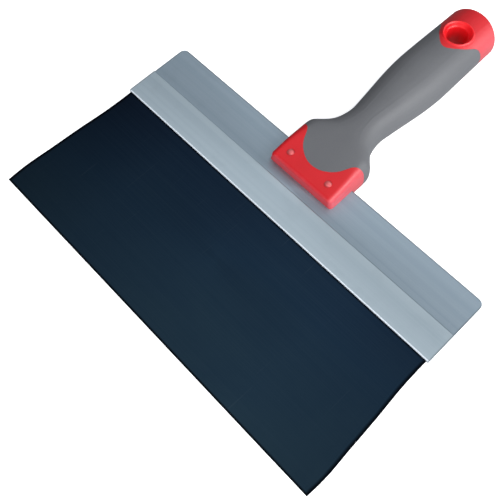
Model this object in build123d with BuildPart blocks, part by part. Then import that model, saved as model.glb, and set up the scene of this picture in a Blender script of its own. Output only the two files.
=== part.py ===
from build123d import *
import math
import os

# Drywall taping knife: a flexible blued-steel blade held in a stepped
# aluminium spine, with a two-shot handle (hard core, soft grip) riveted on.
#
# Frame: millimetres, X across the blade, Y from the working edge to the butt
# of the handle, Z up out of the front face.  The knife lies on its back with
# the blade level; the origin is the bottom centre of the whole tool.
# Lengths along the tool are counted from the spine's lip, where the blade
# comes out: station s is at y = LIP_Y + s.

# ------------------------------------------------------------------ spine
SPINE_W = 250.0          # nominal size of the knife
SPINE_D = 47.4           # lip to rear edge
STEP_S = 21.3            # station of the step between thick and thin zones
SPINE_T = 2.5            # thickness of the zone that holds the blade
FLANGE_T = 1.8           # thickness of the flange that enters the handle
SPINE_CORNER_R = 4.0     # rounded rear corners
BACK_WALL = 0.9          # wall behind the blade slot
# ------------------------------------------------------------------ blade
BLADE_T = 0.5            # spring-steel gauge
BLADE_OUT = 95.1         # exposed depth, lip to working edge
BLADE_IN = 15.0          # depth held in the slot
BLADE_HALF = [           # (station, half width): sides flare to the edge
    (-95.1, 127.3), (-87.0, 127.75), (-80.0, 127.8), (-67.0, 127.0),
    (-52.0, 126.2), (-38.0, 125.4), (-24.0, 124.3), (-11.0, 123.8),
    (0.0, 123.8),
]
# ----------------------------------------------------------------- handle
FERRULE_S = 28.6         # front face of the handle
FERRULE_DRAFT = 0.7      # sides stand out this much at the parting line
FERRULE_RIM_R = 2.4      # rounding round the front face
BUTT_S = 195.0           # end of the handle
BUTT_ARC_R = 42.0        # plan radius of the butt
BUTT_EDGE_R = 2.4        # rounding round the butt
GRIP_T = 2.3             # thickness of the soft layer
# ------------------------------------------------------------ hanging hole
HANG_S = 171.0
HANG_R = 7.2             # bore
HANG_LIP_R = 8.8         # mouth of the countersink
HANG_SINK = 2.2          # depth of the countersink
COLLAR_R = 10.3          # raised collar round the mouth
COLLAR_BASE_R = 11.2
COLLAR_UP = 0.28         # how far it stands above the crown of the butt
# ----------------------------------------------------------------- rivets
RIVET_X = 15.4
RIVET_S = 36.6
RIVET_R = 1.6
RIVET_HEAD_R = 2.25
RIVET_SEAT = 9.35        # height of the seats above the middle plane
RIVET_HEAD_H = 1.05
# ------------------------------------------------------------------ places
OVERALL = BLADE_OUT + BUTT_S
LIP_Y = BLADE_OUT - OVERALL / 2
MID_Z = 15.9             # middle plane of handle and flange above the floor
FLANGE_Z0 = MID_Z - FLANGE_T / 2
BLADE_Z0 = FLANGE_Z0 + BACK_WALL
HANG_CROWN = 15.62       # half thickness of the handle at the hanging hole


def Y(s):
    return LIP_Y + s


# Handle sections: station, half width, half thickness, corner radius,
# share of superellipse, its exponent.  The ferrule is a rounded box that
# thickens towards the hand; over the shoulder it turns into an oval.
STATIONS = [
    (28.6, 25.00, 8.50, 2.80, 0.000, 3.60),
    (33.5, 25.00, 9.32, 2.89, 0.000, 3.60),
    (38.5, 25.00, 10.15, 3.04, 0.033, 3.60),
    (43.5, 25.01, 10.99, 3.30, 0.096, 3.55),
    (48.5, 25.04, 11.79, 3.75, 0.197, 3.46),
    (53.0, 25.14, 12.43, 4.34, 0.334, 3.39),
    (57.0, 25.35, 12.90, 5.00, 0.500, 3.35),
    (60.0, 25.38, 13.20, 5.60, 0.640, 3.25),
    (62.5, 25.15, 13.38, 6.20, 0.760, 3.15),
    (64.5, 24.05, 13.47, 6.80, 0.860, 3.05),
    (66.5, 22.15, 13.50, 7.40, 0.940, 2.95),
    (69.0, 19.85, 13.50, 8.00, 1.000, 2.80),
    (72.0, 17.30, 13.43, 8.50, 1.000, 2.68),
    (75.5, 15.50, 13.32, 8.50, 1.000, 2.55),
    (80.0, 14.18, 13.15, 8.50, 1.000, 2.42),
    (84.0, 13.52, 13.06, 8.50, 1.000, 2.35),
    (88.0, 13.30, 13.03, 8.50, 1.000, 2.31),
    (93.0, 13.76, 13.12, 8.50, 1.000, 2.29),
    (100.0, 14.70, 13.50, 8.50, 1.000, 2.28),
    (109.0, 15.92, 14.15, 8.50, 1.000, 2.26),
    (118.0, 17.15, 14.82, 8.50, 1.000, 2.25),
    (128.0, 18.20, 15.40, 8.50, 1.000, 2.23),
    (138.0, 18.72, 15.77, 8.50, 1.000, 2.21),
    (148.0, 18.70, 15.87, 8.50, 1.000, 2.19),
    (158.0, 18.52, 15.80, 8.50, 1.000, 2.17),
    (168.0, 18.33, 15.66, 8.50, 1.000, 2.15),
    (178.0, 18.14, 15.49, 8.50, 1.000, 2.14),
    (188.0, 17.98, 15.31, 8.50, 1.000, 2.13),
    (199.0, 17.84, 15.11, 8.50, 1.000, 2.12),
]

# Quadrant of a rounded rectangle, as (kind, fraction): up the side, round
# the corner, along the top.
QUADRANT = (
    [("side", f) for f in (0.0, 0.45, 0.8)]
    + [("arc", f) for f in (0.0, 0.17, 0.34, 0.5, 0.66, 0.83, 1.0)]
    + [("top", f) for f in (0.2, 0.5, 0.78)]
)


def section(w, h, r, blend, n, draft=FERRULE_DRAFT):
    """Points of one closed handle section, counter-clockwise from the bottom."""
    r = min(r, 0.98 * w, 0.98 * h)
    quad = []
    for kind, f in QUADRANT:
        if kind == "side":
            x, z = w, f * (h - r)
        elif kind == "arc":
            a = f * math.pi / 2
            x, z = w - r + r * math.cos(a), h - r + r * math.sin(a)
        else:
            x, z = (w - r) * (1 - f), h
        a = math.atan2(z / h, x / w)
        rho = (abs(math.cos(a)) ** n + abs(math.sin(a)) ** n) ** (-1.0 / n)
        ex, ez = w * rho * math.cos(a), h * rho * math.sin(a)
        x, z = x + (ex - x) * blend, z + (ez - z) * blend
        quad.append((x * (1 + 2 * draft * (1 - blend) / w * (0.5 - z / h)), z))
    top = (0.0, h)
    upper = quad + [top] + [(-x, z) for x, z in reversed(quad)]
    lower = [(x, -z) for x, z in reversed(upper[1:-1])]
    ring = upper + lower
    first = len(ring) * 3 // 4
    return ring[first:] + ring[:first]


# Every section carries its points at the same parameters, so the lofted
# skins stay light: spacing follows the ferrule's section.
def ring_params():
    ring = section(*STATIONS[0][1:], draft=0)
    ring = ring + ring[:1]
    out = [0.0]
    for (x0, z0), (x1, z1) in zip(ring, ring[1:]):
        out.append(out[-1] + math.hypot(x1 - x0, z1 - z0) ** 0.5)
    return [p / out[-1] for p in out]


RING_PARAMS = ring_params()


def ring_edge(points):
    """Closed smooth curve through a section's points."""
    return Edge.make_spline([Vector(x, z) for x, z in points], periodic=True,
                            parameters=RING_PARAMS)


def handle_plane(s):
    """Plane across the handle at station s: local x is X, local y is Z."""
    return Plane(origin=(0, Y(s), MID_Z), x_dir=(1, 0, 0), z_dir=(0, -1, 0))


os.makedirs("parts", exist_ok=True)

# ------------------------------------------------------------------ blade
# One flat sheet of blued spring steel; its head is hidden in the spine.
with BuildPart() as blade:
    with BuildSketch(Plane.XY.offset(BLADE_Z0)):
        with BuildLine():
            right = [(hw, Y(s)) for s, hw in BLADE_HALF]
            Spline(*right)
            Polyline((BLADE_HALF[-1][1], Y(0)),
                     (BLADE_HALF[-1][1], Y(BLADE_IN)),
                     (-BLADE_HALF[-1][1], Y(BLADE_IN)),
                     (-BLADE_HALF[-1][1], Y(0)))
            Spline(*[(-x, y) for x, y in reversed(right)])
            Line((-BLADE_HALF[0][1], Y(-BLADE_OUT)),
                 (BLADE_HALF[0][1], Y(-BLADE_OUT)))
        make_face()
    extrude(amount=BLADE_T)
    edge = blade.edges().filter_by(Axis.X).group_by(Axis.Y)[0]
    chamfer(edge, 0.12)

# ------------------------------------------------------------------ spine
# Extruded aluminium: a thick zone slotted for the blade, a step, and a thin
# flange that slides into the handle.
with BuildPart() as spine:
    with BuildSketch(Plane(origin=(-SPINE_W / 2, 0, 0),
                           x_dir=(0, 1, 0), z_dir=(1, 0, 0))):
        with BuildLine():
            z0, zb = FLANGE_Z0, BLADE_Z0
            Polyline(
                (Y(0), z0), (Y(SPINE_D), z0), (Y(SPINE_D), z0 + FLANGE_T),
                (Y(STEP_S), z0 + FLANGE_T),
                (Y(STEP_S) - 0.5, z0 + SPINE_T),
                (Y(0), z0 + SPINE_T), (Y(0), zb + BLADE_T),
                (Y(BLADE_IN), zb + BLADE_T), (Y(BLADE_IN), zb),
                (Y(0), zb), (Y(0), z0))
        make_face()
    extrude(amount=SPINE_W)
    rear = (spine.edges().filter_by(Axis.Z).group_by(Axis.Y)[-1])
    fillet(rear, SPINE_CORNER_R)
    lip = (spine.edges().filter_by(Axis.X)
           .filter_by(lambda e: abs(e.center().Y - Y(0)) < 0.01
                      and (abs(e.center().Z - z0) < 0.01
                           or abs(e.center().Z - z0 - SPINE_T) < 0.01)))
    fillet(lip, 0.25)
    # rivet holes through the flange
    with Locations(*[Plane(origin=(sx * RIVET_X, Y(RIVET_S), FLANGE_Z0 + FLANGE_T))
                     for sx in (-1, 1)]):
        Hole(radius=RIVET_R, depth=FLANGE_T)

# ----------------------------------------------------- handle outer shape
# One loft through the stations, cut to the rounded butt; one half is
# rounded at both ends, then mirrored.
with BuildPart() as grip_outer:
    for s, w, h, r, b, n in STATIONS:
        with BuildSketch(handle_plane(s)):
            with BuildLine():
                add(ring_edge(section(w, h, r, b, n)))
            make_face()
    loft()
    with BuildSketch(Plane.XY.offset(MID_Z - 30)):
        with BuildLine():
            ax, sag = 30.0, BUTT_ARC_R - math.sqrt(BUTT_ARC_R ** 2 - 30.0 ** 2)
            ThreePointArc((ax, Y(BUTT_S) - sag), (0, Y(BUTT_S)),
                          (-ax, Y(BUTT_S) - sag))
            Polyline((-ax, Y(BUTT_S) - sag), (-ax, Y(BUTT_S + 40)),
                     (ax, Y(BUTT_S + 40)), (ax, Y(BUTT_S) - sag))
        make_face()
    extrude(amount=60, mode=Mode.SUBTRACT)
    split(bisect_by=Plane.YZ, keep=Keep.TOP)
    butt_rim = (grip_outer.edges()
                .filter_by(lambda e: e.center().X > 1 and e.center().Y > 100
                           and e.length < 80
                           and abs(e.center().Z - MID_Z) < 3))
    fillet(butt_rim, BUTT_EDGE_R)
    front_rim = (grip_outer.edges()
                 .filter_by(lambda e: e.center().X > 1
                            and abs(e.center().Y - Y(FERRULE_S)) < 0.01))
    fillet(front_rim, FERRULE_RIM_R)
    mirror(about=Plane.YZ)

# Whole outside of the handle with the collars round the hanging hole.
with BuildPart() as handle_skin:
    add(grip_outer.part)
    top = HANG_CROWN + COLLAR_UP
    with BuildSketch(Plane(origin=(0, Y(HANG_S), MID_Z),
                           x_dir=(1, 0, 0), z_dir=(0, -1, 0))):
        with BuildLine():
            Polyline((0, -top), (COLLAR_R - 0.7, -top), (COLLAR_R, -top + 0.7),
                     (COLLAR_BASE_R, 0), (COLLAR_R, top - 0.7),
                     (COLLAR_R - 0.7, top), (0, top), (0, -top))
        make_face()
    revolve(axis=Axis((0, Y(HANG_S), MID_Z), (0, 0, 1)))

# Plan of the soft grip: a rounded tongue runs forward over the ferrule
# between two hard ears, and the butt end is scooped back round the hole.
FRONT_EDGE = [(27.5, 57.9), (24.0, 57.1), (21.2, 56.1), (18.8, 54.0),
              (17.3, 51.4), (15.8, 48.3), (13.5, 45.0), (10.0, 42.0),
              (6.2, 39.9), (2.6, 38.9), (0.0, 38.7)]
BUTT_EDGE = [(0.0, 156.2), (3.0, 157.3), (5.6, 159.6), (8.0, 162.3),
             (10.2, 165.3), (12.0, 168.7), (13.6, 172.0), (15.3, 174.4),
             (17.2, 175.6), (19.8, 176.1), (23.0, 176.3)]

with BuildPart() as grip_zone:
    with BuildSketch(Plane.XY.offset(MID_Z - 25)):
        with BuildLine():
            fr = [(x, Y(s)) for x, s in FRONT_EDGE]
            bt = [(x, Y(s)) for x, s in BUTT_EDGE]
            Spline(*(fr + [(-x, y) for x, y in reversed(fr[:-1])]))
            Line((-fr[0][0], fr[0][1]), (-30, fr[0][1]))
            Line((-30, fr[0][1]), (-30, bt[-1][1]))
            Line((-30, bt[-1][1]), (-bt[-1][0], bt[-1][1]))
            Spline(*([(-x, y) for x, y in reversed(bt[1:])] + bt))
            Line((bt[-1][0], bt[-1][1]), (30, bt[-1][1]))
            Line((30, bt[-1][1]), (30, fr[0][1]))
            Line((30, fr[0][1]), (fr[0][0], fr[0][1]))
        make_face()
    extrude(amount=50)

# Hard core inside the soft layer: station, half width, half thickness and
# exponent of plain superellipses.
CORE_STATIONS = [
    (33.0, 22.7, 7.0, 5.0), (45.0, 22.7, 8.9, 4.6), (55.0, 22.8, 10.3, 4.0),
    (61.0, 22.3, 10.9, 3.3), (65.5, 19.9, 11.1, 3.0), (70.0, 16.2, 11.1, 2.7),
    (76.0, 12.9, 10.9, 2.5), (86.0, 10.9, 10.7, 2.3), (100.0, 12.3, 11.1, 2.2),
    (118.0, 14.8, 12.5, 2.2), (140.0, 16.4, 13.5, 2.2), (165.0, 16.0, 13.3, 2.1),
    (190.0, 15.6, 12.9, 2.1),
]
CORE_RING = 24


def core_edge(w, h, n):
    """Closed superellipse of the core, counter-clockwise from the bottom."""
    pts = []
    for i in range(CORE_RING):
        a = 2 * math.pi * i / CORE_RING - math.pi / 2
        c, d = math.cos(a), math.sin(a)
        rho = (abs(c) ** n + abs(d) ** n) ** (-1.0 / n)
        pts.append(Vector(w * rho * c, h * rho * d))
    return Edge.make_spline(
        pts, periodic=True, parameters=[i / CORE_RING for i in range(CORE_RING + 1)])


with BuildPart() as core_grip:
    for s, w, h, n in CORE_STATIONS:
        with BuildSketch(handle_plane(s)):
            with BuildLine():
                add(core_edge(w, h, n))
            make_face()
    loft()

# --------------------------------------------------------------- soft grip
# Grey elastomer moulded over the core between the two boundaries.
with BuildPart() as soft_grip:
    add(handle_skin.part)
    add(grip_zone.part, mode=Mode.INTERSECT)
    add(core_grip.part, mode=Mode.SUBTRACT)

# ------------------------------------------------------------- handle core
# Hard red core: forked ferrule at the front, hanging hole at the butt.
with BuildPart() as handle_core:
    add(handle_skin.part)
    add(soft_grip.part, mode=Mode.SUBTRACT)
    # slot that takes the spine's flange
    with BuildSketch(Plane.XY.offset(FLANGE_Z0)):
        with BuildLine():
            Polyline((-40, Y(FERRULE_S) - 5), (40, Y(FERRULE_S) - 5),
                     (40, Y(SPINE_D)), (-40, Y(SPINE_D)), close=True)
        make_face()
    extrude(amount=FLANGE_T, mode=Mode.SUBTRACT)
    # rivet holes
    with BuildSketch(Plane.XY.offset(MID_Z - 20)):
        with Locations(*[(sx * RIVET_X, Y(RIVET_S)) for sx in (-1, 1)]):
            Circle(RIVET_R)
    extrude(amount=40, mode=Mode.SUBTRACT)
    # flat seats sunk for the rivet heads
    with BuildSketch(Plane.XY.offset(MID_Z + RIVET_SEAT)):
        with Locations(*[(sx * RIVET_X, Y(RIVET_S)) for sx in (-1, 1)]):
            Circle(RIVET_HEAD_R)
    extrude(amount=6, mode=Mode.SUBTRACT)
    with BuildSketch(Plane.XY.offset(MID_Z - RIVET_SEAT)):
        with Locations(*[(sx * RIVET_X, Y(RIVET_S)) for sx in (-1, 1)]):
            Circle(RIVET_HEAD_R)
    extrude(amount=-6, mode=Mode.SUBTRACT)
    # hanging hole, countersunk from both faces
    top = HANG_CROWN + COLLAR_UP
    with BuildSketch(Plane(origin=(0, Y(HANG_S), MID_Z),
                           x_dir=(1, 0, 0), z_dir=(0, -1, 0))):
        with BuildLine():
            Polyline((0, -top - 5), (HANG_LIP_R + 0.6, -top - 5),
                     (HANG_LIP_R + 0.6, -top), (HANG_LIP_R, -top + 0.5),
                     (HANG_R + 0.7, -top + HANG_SINK),
                     (HANG_R, -top + HANG_SINK + 0.8),
                     (HANG_R, top - HANG_SINK - 0.8),
                     (HANG_R + 0.7, top - HANG_SINK),
                     (HANG_LIP_R, top - 0.5), (HANG_LIP_R + 0.6, top),
                     (HANG_LIP_R + 0.6, top + 5), (0, top + 5),
                     (0, -top - 5))
        make_face()
    revolve(axis=Axis((0, Y(HANG_S), MID_Z), (0, 0, 1)), mode=Mode.SUBTRACT)


# ------------------------------------------------------------------ rivets
# Each rivet clamps both jaws of the ferrule onto the flange; its two heads
# are low domes sunk in seats in the ferrule's faces.
RIVET_DOME = RIVET_HEAD_H - 0.55      # dome above the head's short rim
DOME_R = (RIVET_HEAD_R ** 2 + RIVET_DOME ** 2) / (2 * RIVET_DOME)
DOME_MID = math.sqrt(DOME_R ** 2 - (RIVET_HEAD_R / 2) ** 2) - DOME_R


def rivet_plane(x):
    """Plane through a rivet's axis: local x is the radius, local y is Z."""
    return Plane(origin=(x, Y(RIVET_S), MID_Z), x_dir=(1, 0, 0),
                 z_dir=(0, -1, 0))


RIM = RIVET_SEAT + 0.55
TIP = RIVET_SEAT + RIVET_HEAD_H

with BuildPart() as rivet_left:
    with BuildSketch(rivet_plane(-RIVET_X)):
        with BuildLine():
            Line((0, -TIP), (0, TIP))
            ThreePointArc((0, TIP), (RIVET_HEAD_R / 2, TIP + DOME_MID),
                          (RIVET_HEAD_R, RIM))
            Polyline((RIVET_HEAD_R, RIM), (RIVET_HEAD_R, RIVET_SEAT),
                     (RIVET_R, RIVET_SEAT), (RIVET_R, -RIVET_SEAT),
                     (RIVET_HEAD_R, -RIVET_SEAT), (RIVET_HEAD_R, -RIM))
            ThreePointArc((RIVET_HEAD_R, -RIM),
                          (RIVET_HEAD_R / 2, -TIP - DOME_MID), (0, -TIP))
        make_face()
    revolve(axis=Axis((-RIVET_X, Y(RIVET_S), MID_Z), (0, 0, 1)))

with BuildPart() as rivet_right:
    with BuildSketch(rivet_plane(RIVET_X)):
        with BuildLine():
            Line((0, -TIP), (0, TIP))
            ThreePointArc((0, TIP), (RIVET_HEAD_R / 2, TIP + DOME_MID),
                          (RIVET_HEAD_R, RIM))
            Polyline((RIVET_HEAD_R, RIM), (RIVET_HEAD_R, RIVET_SEAT),
                     (RIVET_R, RIVET_SEAT), (RIVET_R, -RIVET_SEAT),
                     (RIVET_HEAD_R, -RIVET_SEAT), (RIVET_HEAD_R, -RIM))
            ThreePointArc((RIVET_HEAD_R, -RIM),
                          (RIVET_HEAD_R / 2, -TIP - DOME_MID), (0, -TIP))
        make_face()
    revolve(axis=Axis((RIVET_X, Y(RIVET_S), MID_Z), (0, 0, 1)))

# ------------------------------------------------------------------ output
PIECES = {
    "blade": blade, "spine": spine, "handle_core": handle_core,
    "soft_grip": soft_grip, "rivet_left": rivet_left,
    "rivet_right": rivet_right,
}
for name, piece in PIECES.items():
    piece.part.label = name
    export_step(piece.part, "parts/" + name + ".step")
    bb = piece.part.bounding_box()
    print(name, "solids", len(piece.solids()),
          "volume %.1f" % piece.part.volume,
          "x %.2f..%.2f y %.2f..%.2f z %.2f..%.2f" % (
              bb.min.X, bb.max.X, bb.min.Y, bb.max.Y, bb.min.Z, bb.max.Z))
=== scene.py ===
import math

import bmesh
import bpy
from mathutils import Matrix, Vector


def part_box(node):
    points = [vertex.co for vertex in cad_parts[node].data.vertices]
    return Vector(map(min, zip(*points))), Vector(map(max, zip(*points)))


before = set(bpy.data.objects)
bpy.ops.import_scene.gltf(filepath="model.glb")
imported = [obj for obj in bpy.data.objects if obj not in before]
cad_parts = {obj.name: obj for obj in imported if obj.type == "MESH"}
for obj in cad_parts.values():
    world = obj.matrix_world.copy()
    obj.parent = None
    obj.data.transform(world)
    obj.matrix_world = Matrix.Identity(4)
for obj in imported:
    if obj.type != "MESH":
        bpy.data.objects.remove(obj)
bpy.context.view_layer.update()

scene = bpy.context.scene
scene.view_settings.view_transform = "Standard"
scene.view_settings.look = "None"

# --------------------------------------------------------------- places
LIP_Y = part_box("spine")[0].y          # lip of the spine, metres
REAR_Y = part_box("spine")[1].y
STEP_Y = LIP_Y + 0.0213               # step between the two zones
EDGE_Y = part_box("blade")[0].y         # working edge
HALF_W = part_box("spine")[1].x
MID_Z = 0.5 * (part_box("handle_core")[0].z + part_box("handle_core")[1].z)


# ------------------------------------------------------- node shorthand
class Mat:
    """Small helper for building one procedural material."""

    def __init__(self, name):
        self.mat = bpy.data.materials.new(name)
        self.mat.use_nodes = True
        self.t = self.mat.node_tree
        self.bsdf = self.t.nodes["Principled BSDF"]
        self.coord = self.t.nodes.new("ShaderNodeTexCoord")
        self.obj = self.coord.outputs["Object"]

    def set(self, **values):
        for key, value in values.items():
            self.bsdf.inputs[key.replace("_", " ")].default_value = value
        return self

    def link(self, a, b):
        self.t.links.new(a, b)

    def mapping(self, scale, source=None, rot=(0, 0, 0), loc=(0, 0, 0)):
        n = self.t.nodes.new("ShaderNodeMapping")
        n.inputs["Scale"].default_value = scale
        n.inputs["Rotation"].default_value = rot
        n.inputs["Location"].default_value = loc
        self.link(source or self.obj, n.inputs["Vector"])
        return n.outputs["Vector"]

    def noise(self, scale=(1, 1, 1), detail=4.0, rough=0.55, source=None,
              loc=(0, 0, 0), distortion=0.0):
        n = self.t.nodes.new("ShaderNodeTexNoise")
        n.inputs["Scale"].default_value = 1.0
        n.inputs["Detail"].default_value = detail
        n.inputs["Roughness"].default_value = rough
        n.inputs["Distortion"].default_value = distortion
        self.link(self.mapping(scale, source, loc=loc), n.inputs["Vector"])
        return n.outputs["Fac"]

    def voronoi(self, scale, feature="F1"):
        n = self.t.nodes.new("ShaderNodeTexVoronoi")
        n.feature = feature
        n.inputs["Scale"].default_value = 1.0
        self.link(self.mapping(scale), n.inputs["Vector"])
        return n.outputs["Distance"]

    def ramp(self, fac, stops, mode="LINEAR"):
        n = self.t.nodes.new("ShaderNodeValToRGB")
        n.color_ramp.interpolation = mode
        while len(n.color_ramp.elements) < len(stops):
            n.color_ramp.elements.new(0.5)
        for e, (p, c) in zip(n.color_ramp.elements, stops):
            e.position = p
            e.color = (*c, 1) if isinstance(c, tuple) else (c, c, c, 1)
        self.link(fac, n.inputs["Fac"])
        return n.outputs["Color"]

    def math(self, op, a, b=None, c=None, clamp=False):
        n = self.t.nodes.new("ShaderNodeMath")
        n.operation = op
        n.use_clamp = clamp
        for i, v in enumerate((a, b, c)):
            if v is None:
                continue
            if isinstance(v, (int, float)):
                n.inputs[i].default_value = v
            else:
                self.link(v, n.inputs[i])
        return n.outputs[0]

    def maprange(self, v, a, b, c=0.0, d=1.0):
        n = self.t.nodes.new("ShaderNodeMapRange")
        n.inputs["From Min"].default_value = a
        n.inputs["From Max"].default_value = b
        n.inputs["To Min"].default_value = c
        n.inputs["To Max"].default_value = d
        self.link(v, n.inputs["Value"])
        return n.outputs["Result"]

    def mix(self, fac, a, b, blend="MIX"):
        n = self.t.nodes.new("ShaderNodeMix")
        n.data_type = "RGBA"
        n.blend_type = blend
        for name, v in (("Factor", fac), ("A", a), ("B", b)):
            sock = [s for s in n.inputs if s.name == name and s.type == (
                "VALUE" if name == "Factor" else "RGBA")][0]
            if isinstance(v, tuple):
                sock.default_value = (*v, 1)
            elif isinstance(v, (int, float)):
                sock.default_value = v
            else:
                self.link(v, sock)
        return [s for s in n.outputs if s.type == "RGBA"][0]

    def xyz(self):
        n = self.t.nodes.new("ShaderNodeSeparateXYZ")
        self.link(self.obj, n.inputs[0])
        return n.outputs["X"], n.outputs["Y"], n.outputs["Z"]

    def normal_z(self):
        g = self.t.nodes.new("ShaderNodeNewGeometry")
        n = self.t.nodes.new("ShaderNodeSeparateXYZ")
        self.link(g.outputs["Normal"], n.inputs[0])
        return n.outputs["X"], n.outputs["Y"], n.outputs["Z"]

    def bump(self, height, strength, distance, chain=None):
        n = self.t.nodes.new("ShaderNodeBump")
        n.inputs["Strength"].default_value = strength
        n.inputs["Distance"].default_value = distance
        self.link(height, n.inputs["Height"])
        if chain is not None:
            self.link(chain, n.inputs["Normal"])
        return n.outputs["Normal"]

    def edge_soft(self, radius, samples=6, chain=None):
        """Rounds the look of sharp edges by a small radius."""
        n = self.t.nodes.new("ShaderNodeBevel")
        n.samples = samples
        n.inputs["Radius"].default_value = radius
        if chain is not None:
            self.link(chain, n.inputs["Normal"])
        return n.outputs["Normal"]

    def out(self, color=None, rough=None, normal=None, **more):
        if color is not None:
            self.link(color, self.bsdf.inputs["Base Color"])
        if rough is not None:
            self.link(rough, self.bsdf.inputs["Roughness"])
        if normal is not None:
            self.link(normal, self.bsdf.inputs["Normal"])
        for key, value in more.items():
            self.link(value, self.bsdf.inputs[key.replace("_", " ")])
        return self.mat


# ------------------------------------------------------------ materials
BLADE_LOW = (0.0060, 0.0125, 0.0290)
BLADE_MID = (0.0125, 0.0305, 0.0560)
BLADE_HIGH = (0.0195, 0.0420, 0.0610)
BLADE_CLOUD = (0.0080, 0.0230, 0.0500)
BLADE_GRAIN = (0.0300, 0.0560, 0.0850)
BLADE_SCUFF = (0.06, 0.085, 0.11)


def blued_steel():
    """Blue-black oxide on rolled sheet, painted lighter towards the working edge
    and darker near the spine and at both ends, standing in for the light on it;
    rims are near black, with painted shade under the lip.  Fine rolling
    lines run along the blade, with faint scuffs across them."""
    m = Mat("blued_steel").set(Metallic=0.96, Specular_IOR_Level=0.2)
    x, y, z = m.xyz()
    cloud = m.noise((16, 20, 40), detail=5, rough=0.6, distortion=0.4)
    slow = m.noise((5, 6, 10), detail=2)
    # painted light: lighter towards the working edge, darker near the spine
    painted_light_drift = m.math("ADD", m.math("MULTIPLY", x, 0.06),
                   m.math("MULTIPLY", m.math("SUBTRACT", LIP_Y, y), 1.16))
    painted_light_drift = m.math("ADD", painted_light_drift, 0.02)
    tone = m.math("ADD", painted_light_drift, m.maprange(slow, 0.3, 0.7, -0.03, 0.03))
    base = m.ramp(tone, [(0.00, BLADE_LOW), (0.075, BLADE_MID),
                         (0.16, BLADE_HIGH)])
    base = m.mix(m.ramp(cloud, [(0.36, 0.0), (0.74, 0.35)]), base,
                 BLADE_CLOUD)
    grain = m.noise((9, 2600, 900), detail=3, rough=0.6)
    grain2 = m.noise((3, 700, 300), detail=2, rough=0.5, loc=(0.3, 0, 0))
    base = m.mix(m.ramp(grain, [(0.42, 0.0), (0.72, 0.22)]), base,
                 BLADE_GRAIN)
    # sparse fine scuffs across the lines
    scuff = m.noise((620, 18, 200), detail=2, rough=0.4, distortion=0.8)
    scuff = m.ramp(scuff, [(0.70, 0.0), (0.76, 0.12)])
    base = m.mix(scuff, base, BLADE_SCUFF)
    # painted shade: darker towards both ends of the sheet
    painted_end_shade = m.maprange(m.math("ABSOLUTE", x), 0.070, 0.120, 1.0, 0.80)
    base = m.mix(1.0, base, painted_end_shade, "MULTIPLY")
    # near-black rims: the working edge and the flared sides; painted shade under
    # the lip
    rim = m.maprange(y, EDGE_Y + 0.0006, EDGE_Y + 0.0016, 1.0, 0.0)
    lip_shade = m.maprange(y, LIP_Y - 0.0015, LIP_Y - 0.0004, 0.0, 0.9)
    # half width of the flared sheet along its depth, 120 mm + 10 mm x value
    flare = m.ramp(m.maprange(y, EDGE_Y, LIP_Y), [
        (0.0, 0.730), (0.085, 0.775), (0.159, 0.780), (0.296, 0.700),
        (0.453, 0.620), (0.600, 0.540), (0.748, 0.430), (0.884, 0.380),
        (1.0, 0.380)], "CARDINAL")
    inset = m.math("SUBTRACT", m.math("ABSOLUTE", x),
                   m.math("ADD", m.math("MULTIPLY", flare, 0.010), 0.120))
    side = m.maprange(inset, -0.0024, -0.0010, 0.0, 0.92)
    rim = m.math("MAXIMUM", m.math("MAXIMUM", rim, lip_shade), side)
    base = m.mix(rim, base, (0.0012, 0.0018, 0.0034))
    # thin line of bare steel just at the ground edge
    bare = m.maprange(y, EDGE_Y + 0.00005, EDGE_Y + 0.00022, 1.0, 0.0)
    broken = m.ramp(m.noise((160, 40, 40), detail=4), [(0.45, 0.1), (0.62, 0.8)])
    bare = m.math("MULTIPLY", bare, broken, clamp=True)
    base = m.mix(m.math("MULTIPLY", bare, 0.35), base, (0.085, 0.09, 0.10))
    rough = m.math("ADD", m.maprange(grain, 0.3, 0.8, 0.34, 0.42),
                   m.math("MULTIPLY", cloud, 0.08))
    n = m.bump(grain, 0.08, 0.00005)
    n = m.bump(grain2, 0.06, 0.00010, n)
    m.bsdf.inputs["Anisotropic"].default_value = 0.3
    return m.out(base, rough, n)


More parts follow.
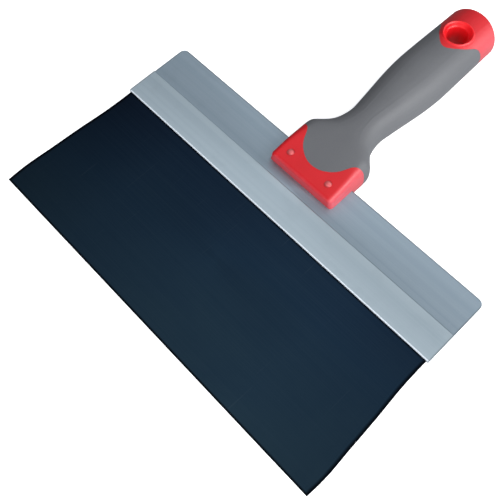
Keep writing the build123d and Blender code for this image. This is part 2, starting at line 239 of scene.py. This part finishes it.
def spine_aluminium():
    """Mill-finish extrusion: long die lines along the blade.  Painted light: the
    top of the thick zone lighter than the flange and a bright rolled lip;
    painted shade: darker cut ends and rear edge, and darker towards one end."""
    m = Mat("spine_aluminium").set(Metallic=0.92)
    x, y, z = m.xyz()
    nx, ny, nz = m.normal_z()
    die = m.noise((2.0, 3200, 1500), detail=4, rough=0.65)
    band = m.noise((0.8, 260, 120), detail=3, rough=0.5, loc=(1.7, 0, 0))
    mott = m.noise((55, 70, 60), detail=4, rough=0.6)
    thick = m.maprange(y, STEP_Y - 0.0003, STEP_Y + 0.0001, 1.0, 0.0)
    up = m.maprange(nz, 0.3, 0.7)
    thick = m.math("MULTIPLY", thick, up)
    flange = m.ramp(band, [(0.30, (0.296, 0.380, 0.456)),
                           (0.70, (0.336, 0.420, 0.496))])
    # painted light: the top of the thick zone is lighter than the flange
    thick_zone_lit = m.ramp(band, [(0.30, (0.425, 0.520, 0.590)),
                             (0.70, (0.490, 0.585, 0.650))])
    base = m.mix(thick, flange, thick_zone_lit)
    # painted shade: darker towards the +x end
    shade_along_x = m.ramp(m.maprange(x, -0.125, 0.125),
                  [(0.0, 1.0), (0.5, 0.80), (1.0, 0.66)])
    shade_along_x = m.math("MULTIPLY", shade_along_x, 1.17)
    base = m.mix(1.0, base, shade_along_x, "MULTIPLY")
    base = m.mix(m.ramp(die, [(0.36, 0.0), (0.66, 0.24)]), base,
                 (0.50, 0.57, 0.62))
    base = m.mix(m.ramp(mott, [(0.52, 0.0), (0.80, 0.20)]), base,
                 (0.27, 0.33, 0.38))
    # small handling scratches
    scr = m.noise((900, 60, 200), detail=2, rough=0.4, distortion=1.4)
    scr = m.ramp(scr, [(0.74, 0.0), (0.79, 0.12)])
    base = m.mix(scr, base, (0.72, 0.77, 0.80))
    # painted highlight: the rolled lip over the blade is painted bright and made
    # less metallic
    lip_highlight = m.maprange(y, LIP_Y + 0.0005, LIP_Y + 0.0009, 1.0, 0.0)
    base = m.mix(m.math("MULTIPLY", lip_highlight, m.maprange(nz, -0.4, 0.2)), base,
                 (0.66, 0.72, 0.79))
    # painted shadow line in the foot of the step
    step_shadow = m.maprange(m.math("ABSOLUTE", m.math("SUBTRACT", y, STEP_Y + 0.00005)),
                      0.00010, 0.00050, 0.14, 0.0)
    base = m.mix(m.math("MULTIPLY", step_shadow, up), base, (0.09, 0.105, 0.12))
    # painted shade: the sheared ends and rear edge darker than the rolled faces
    edge_shade = m.math("MAXIMUM",
                 m.maprange(m.math("ABSOLUTE", x), HALF_W - 0.0009,
                            HALF_W - 0.0003, 0.0, 0.6),
                 m.maprange(y, REAR_Y - 0.0009, REAR_Y - 0.0003, 0.0, 0.6))
    base = m.mix(edge_shade, base, (0.11, 0.125, 0.13))
    rough = m.math("ADD", m.maprange(die, 0.3, 0.7, 0.36, 0.48),
                   m.math("MULTIPLY", mott, 0.08))
    rough = m.math("ADD", rough, m.maprange(thick, 0, 1, 0.02, -0.03))
    n = m.bump(die, 0.14, 0.00004)
    n = m.bump(band, 0.06, 0.00015, n)
    n = m.edge_soft(0.00022, 6, n)
    m.bsdf.inputs["Anisotropic"].default_value = 0.45
    metal = m.maprange(lip_highlight, 0, 1, 0.92, 0.15)
    return m.out(base, rough, n, Metallic=metal)


def core_plastic():
    """Red moulded plastic: slight flow variation, fine spark-eroded texture
    on the broad faces; painted light makes one flank and the front skirt paler."""
    m = Mat("core_plastic").set(
        Metallic=0.0, IOR=1.46, Coat_Weight=0.06, Coat_Roughness=0.25,
        Subsurface_Weight=0.06, Subsurface_Scale=0.002,
        Sheen_Weight=0.06, Sheen_Roughness=0.35)
    m.bsdf.inputs["Sheen Tint"].default_value = (1.0, 0.80, 0.82, 1)
    m.bsdf.inputs["Subsurface Radius"].default_value = (1.0, 0.25, 0.15)
    x, y, z = m.xyz()
    flow = m.noise((40, 22, 60), detail=3, rough=0.5, distortion=0.6)
    fine = m.noise((2600, 2600, 2600), detail=3, rough=0.6)
    pit = m.voronoi((1700, 1700, 1700))
    base = m.ramp(flow, [(0.30, (0.470, 0.0035, 0.0080)),
                         (0.70, (0.550, 0.0060, 0.0120))])
    # paler where handled: ridges catch dust of plaster in the texture
    dust = m.noise((120, 120, 120), detail=5, rough=0.65)
    base = m.mix(m.ramp(dust, [(0.62, 0.0), (0.88, 0.05)]), base,
                 (0.80, 0.45, 0.42))
    # painted light: one flank and the front skirt are painted paler
    nx, ny, nz = m.normal_z()
    painted_side_light = m.math("SUBTRACT", m.math("MULTIPLY", nx, 0.75),
                 m.math("MULTIPLY", ny, 0.45))
    painted_side_light = m.maprange(painted_side_light, 0.15, 0.65, 0.0, 0.42)
    painted_side_light = m.math("MULTIPLY", painted_side_light, m.maprange(dust, 0.3, 0.7, 0.75, 1.0))
    # painted light: the bore of the hanging hole gets none of the painted side
    # light and is painted a brighter deep red
    hy = m.math("SUBTRACT", y, LIP_Y + 0.171)
    hrad = m.math("SQRT", m.math("ADD", m.math("MULTIPLY", x, x),
                                 m.math("MULTIPLY", hy, hy)))
    hole = m.maprange(hrad, 0.0092, 0.0112, 1.0, 0.0)
    painted_side_light = m.math("MULTIPLY", painted_side_light, m.math("SUBTRACT", 1.0, hole))
    base = m.mix(painted_side_light, base, (0.60, 0.145, 0.180))
    base = m.mix(m.math("MULTIPLY", hole, 0.8), base, (0.86, 0.008, 0.014))
    rough = m.maprange(fine, 0.3, 0.7, 0.30, 0.40)
    h = m.math("ADD", m.math("MULTIPLY", fine, 0.6), m.math("MULTIPLY", pit, 0.5))
    n = m.bump(h, 0.22, 0.00006)
    # mould parting line round the middle of the thickness
    d = m.math("ABSOLUTE", m.math("SUBTRACT", z, MID_Z))
    seam = m.maprange(d, 0.00005, 0.00022, 1.0, 0.0)
    n = m.bump(seam, 0.5, 0.00012, n)
    n = m.edge_soft(0.00035, 6, n)
    return m.out(base, rough, n)


def grip_elastomer():
    """Soft-touch elastomer: matte, with a fine pebbled skin and the faint
    shine of a used grip on its belly."""
    m = Mat("grip_elastomer").set(
        Metallic=0.0, IOR=1.48, Sheen_Weight=0.10, Sheen_Roughness=0.5)
    m.bsdf.inputs["Sheen Tint"].default_value = (0.80, 0.82, 0.88, 1)
    x, y, z = m.xyz()
    slow = m.noise((24, 18, 30), detail=3, rough=0.5)
    fine = m.noise((1500, 1500, 1500), detail=4, rough=0.6)
    peb = m.voronoi((1250, 1250, 1250), "SMOOTH_F1")
    base = m.ramp(slow, [(0.30, (0.089, 0.091, 0.100)),
                         (0.72, (0.107, 0.110, 0.119))])
    base = m.mix(m.ramp(fine, [(0.40, 0.0), (0.80, 0.22)]), base,
                 (0.150, 0.154, 0.162))
    dust = m.noise((90, 90, 90), detail=6, rough=0.7)
    base = m.mix(m.ramp(dust, [(0.60, 0.0), (0.88, 0.10)]), base,
                 (0.30, 0.30, 0.30))
    rough = m.math("ADD", m.maprange(fine, 0.3, 0.7, 0.42, 0.54),
                   m.math("MULTIPLY", slow, 0.06))
    h = m.math("ADD", m.math("MULTIPLY", peb, 0.8), m.math("MULTIPLY", fine, 0.5))
    n = m.bump(h, 0.30, 0.00010)
    d = m.math("ABSOLUTE", m.math("SUBTRACT", z, MID_Z))
    seam = m.maprange(d, 0.00006, 0.00028, 1.0, 0.0)
    n = m.bump(seam, 0.45, 0.00012, n)
    n = m.edge_soft(0.0003, 6, n)
    return m.out(base, rough, n)


def rivet_metal():
    """Set aluminium rivet: turned rings from the setting tool and a
    pinkish-red colour."""
    m = Mat("rivet_metal").set(Metallic=0.55)
    x, y, z = m.xyz()
    cx = m.math("ABSOLUTE", x)
    rx = m.math("SUBTRACT", cx, 0.0154)
    cy = 0.5 * (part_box("rivet_left")[0].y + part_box("rivet_left")[1].y)
    ry = m.math("SUBTRACT", y, cy)
    rad = m.math("SQRT", m.math("ADD", m.math("MULTIPLY", rx, rx),
                                m.math("MULTIPLY", ry, ry)))
    ring = m.math("SINE", m.math("MULTIPLY", rad, 16000.0))
    dirt = m.noise((900, 900, 900), detail=4)
    base = m.ramp(dirt, [(0.35, (0.68, 0.105, 0.110)), (0.70, (0.82, 0.20, 0.205))])
    rim = m.maprange(rad, 0.0013, 0.0021, 0.0, 0.75)
    base = m.mix(rim, base, (0.42, 0.035, 0.042))
    rough = m.maprange(dirt, 0.3, 0.7, 0.30, 0.46)
    n = m.bump(ring, 0.25, 0.00003)
    n = m.bump(dirt, 0.2, 0.00005, n)
    return m.out(base, rough, n)


MATS = {
    "blade": blued_steel(), "spine": spine_aluminium(),
    "handle_core": core_plastic(), "soft_grip": grip_elastomer(),
}
MATS["rivet_left"] = MATS["rivet_right"] = rivet_metal()
for name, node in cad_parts.items():
    node.data.materials.clear()
    node.data.materials.append(MATS[name])


# ----------------------------------------------------------------- stage
def floor_mesh():
    """Pale studio bowl: flat under the tool, curving up far away all round."""
    bm = bmesh.new()
    prof = [(0.25, 0.0), (0.6, 0.0), (1.1, 0.0), (1.8, 0.0)]
    for i in range(1, 13):
        a = i / 12 * math.pi / 2
        prof.append((1.8 + 1.2 * math.sin(a), 1.2 * (1 - math.cos(a))))
    prof += [(3.0, 2.2), (3.0, 4.5)]
    n = 72
    hub = bm.verts.new((0, 0, -0.0004))
    rows = []
    for r, z in prof:
        rows.append([bm.verts.new((r * math.cos(2 * math.pi * k / n),
                                   r * math.sin(2 * math.pi * k / n),
                                   z - 0.0004)) for k in range(n)])
    for k in range(n):
        bm.faces.new((hub, rows[0][k], rows[0][(k + 1) % n]))
    for r0, r1 in zip(rows, rows[1:]):
        for k in range(n):
            q = (k + 1) % n
            bm.faces.new((r0[k], r1[k], r1[q], r0[q]))
    me = bpy.data.meshes.new("floor")
    bm.to_mesh(me)
    bm.free()
    for p in me.polygons:
        p.use_smooth = True
    ob = bpy.data.objects.new("floor", me)
    scene.collection.objects.link(ob)
    return ob


floor = floor_mesh()
fm = Mat("studio_floor").set(Roughness=0.9, Specular_IOR_Level=0.1,
                             Emission_Strength=0.62)
fm.bsdf.inputs["Emission Color"].default_value = (0.985, 0.99, 1.0, 1)
tone = fm.noise((3, 3, 3), detail=2)
floor.data.materials.append(fm.out(
    fm.ramp(tone, [(0.3, (0.90, 0.90, 0.905)), (0.7, (0.93, 0.93, 0.93))])))
floor.visible_diffuse = False        # its white throws no light back up
floor.visible_glossy = False
floor.visible_shadow = False

world = bpy.data.worlds.new("studio")
scene.world = world
world.use_nodes = True
bg = world.node_tree.nodes["Background"]
# studio surroundings: bright tent on the right and overhead, dim on the left
wt = world.node_tree
wc = wt.nodes.new("ShaderNodeTexCoord")
wm = wt.nodes.new("ShaderNodeVectorMath")
wm.operation = "DOT_PRODUCT"
wm.inputs[1].default_value = (0.92, 0.15, 0.36)
wt.links.new(wc.outputs["Generated"], wm.inputs[0])
wr = wt.nodes.new("ShaderNodeValToRGB")
wr.color_ramp.elements.new(0.5)
for e, (p, c) in zip(wr.color_ramp.elements,
                     [(0.0, (0.12, 0.125, 0.13)), (0.52, (0.37, 0.385, 0.40)),
                      (1.0, (1.15, 1.18, 1.20))]):
    e.position = p
    e.color = (*c, 1)
wa = wt.nodes.new("ShaderNodeMapRange")
wa.inputs["From Min"].default_value = -0.75
wa.inputs["From Max"].default_value = 0.75
wt.links.new(wm.outputs["Value"], wa.inputs["Value"])
wt.links.new(wa.outputs["Result"], wr.inputs["Fac"])
wt.links.new(wr.outputs["Color"], bg.inputs["Color"])
bg.inputs["Strength"].default_value = 1.0


def area(name, loc, target, size, power, color=(1, 1, 1), size_y=None):
    light = bpy.data.lights.new(name, "AREA")
    light.shape = "RECTANGLE"
    light.size = size
    light.size_y = size_y or size
    light.energy = power
    light.color = color
    ob = bpy.data.objects.new(name, light)
    scene.collection.objects.link(ob)
    ob.location = loc
    d = Vector(target) - Vector(loc)
    ob.rotation_euler = d.to_track_quat("-Z", "Y").to_euler()
    return ob


area("key", (1.02, 0.22, 0.68), (0.0, 0.03, 0.02), 1.5, 14.0, size_y=0.7)
front = area("front", (0.10, -1.15, 0.36), (0.0, 0.0, 0.02), 0.9, 9.0)
front.visible_glossy = False
area("top", (-0.25, 0.45, 1.3), (0.0, 0.0, 0.0), 1.2, 1.6)

# ---------------------------------------------------------------- camera
cam_data = bpy.data.cameras.new("camera")
cam_data.sensor_fit = "HORIZONTAL"
cam_data.sensor_width = 36.0
cam_data.lens = 50.24
cam_data.shift_x = -0.001
cam_data.shift_y = 0.001
cam_data.clip_start = 0.01
cam = bpy.data.objects.new("camera", cam_data)
scene.collection.objects.link(cam)
cam.matrix_world = Matrix((
    (0.69139, -0.65268, 0.30982, 0.135645),
    (0.72175, 0.64329, -0.25546, -0.17522),
    (-0.03258, 0.40023, 0.91583, 0.38503),
    (0, 0, 0, 1)))
scene.camera = cam

bpy.context.view_layer.update()
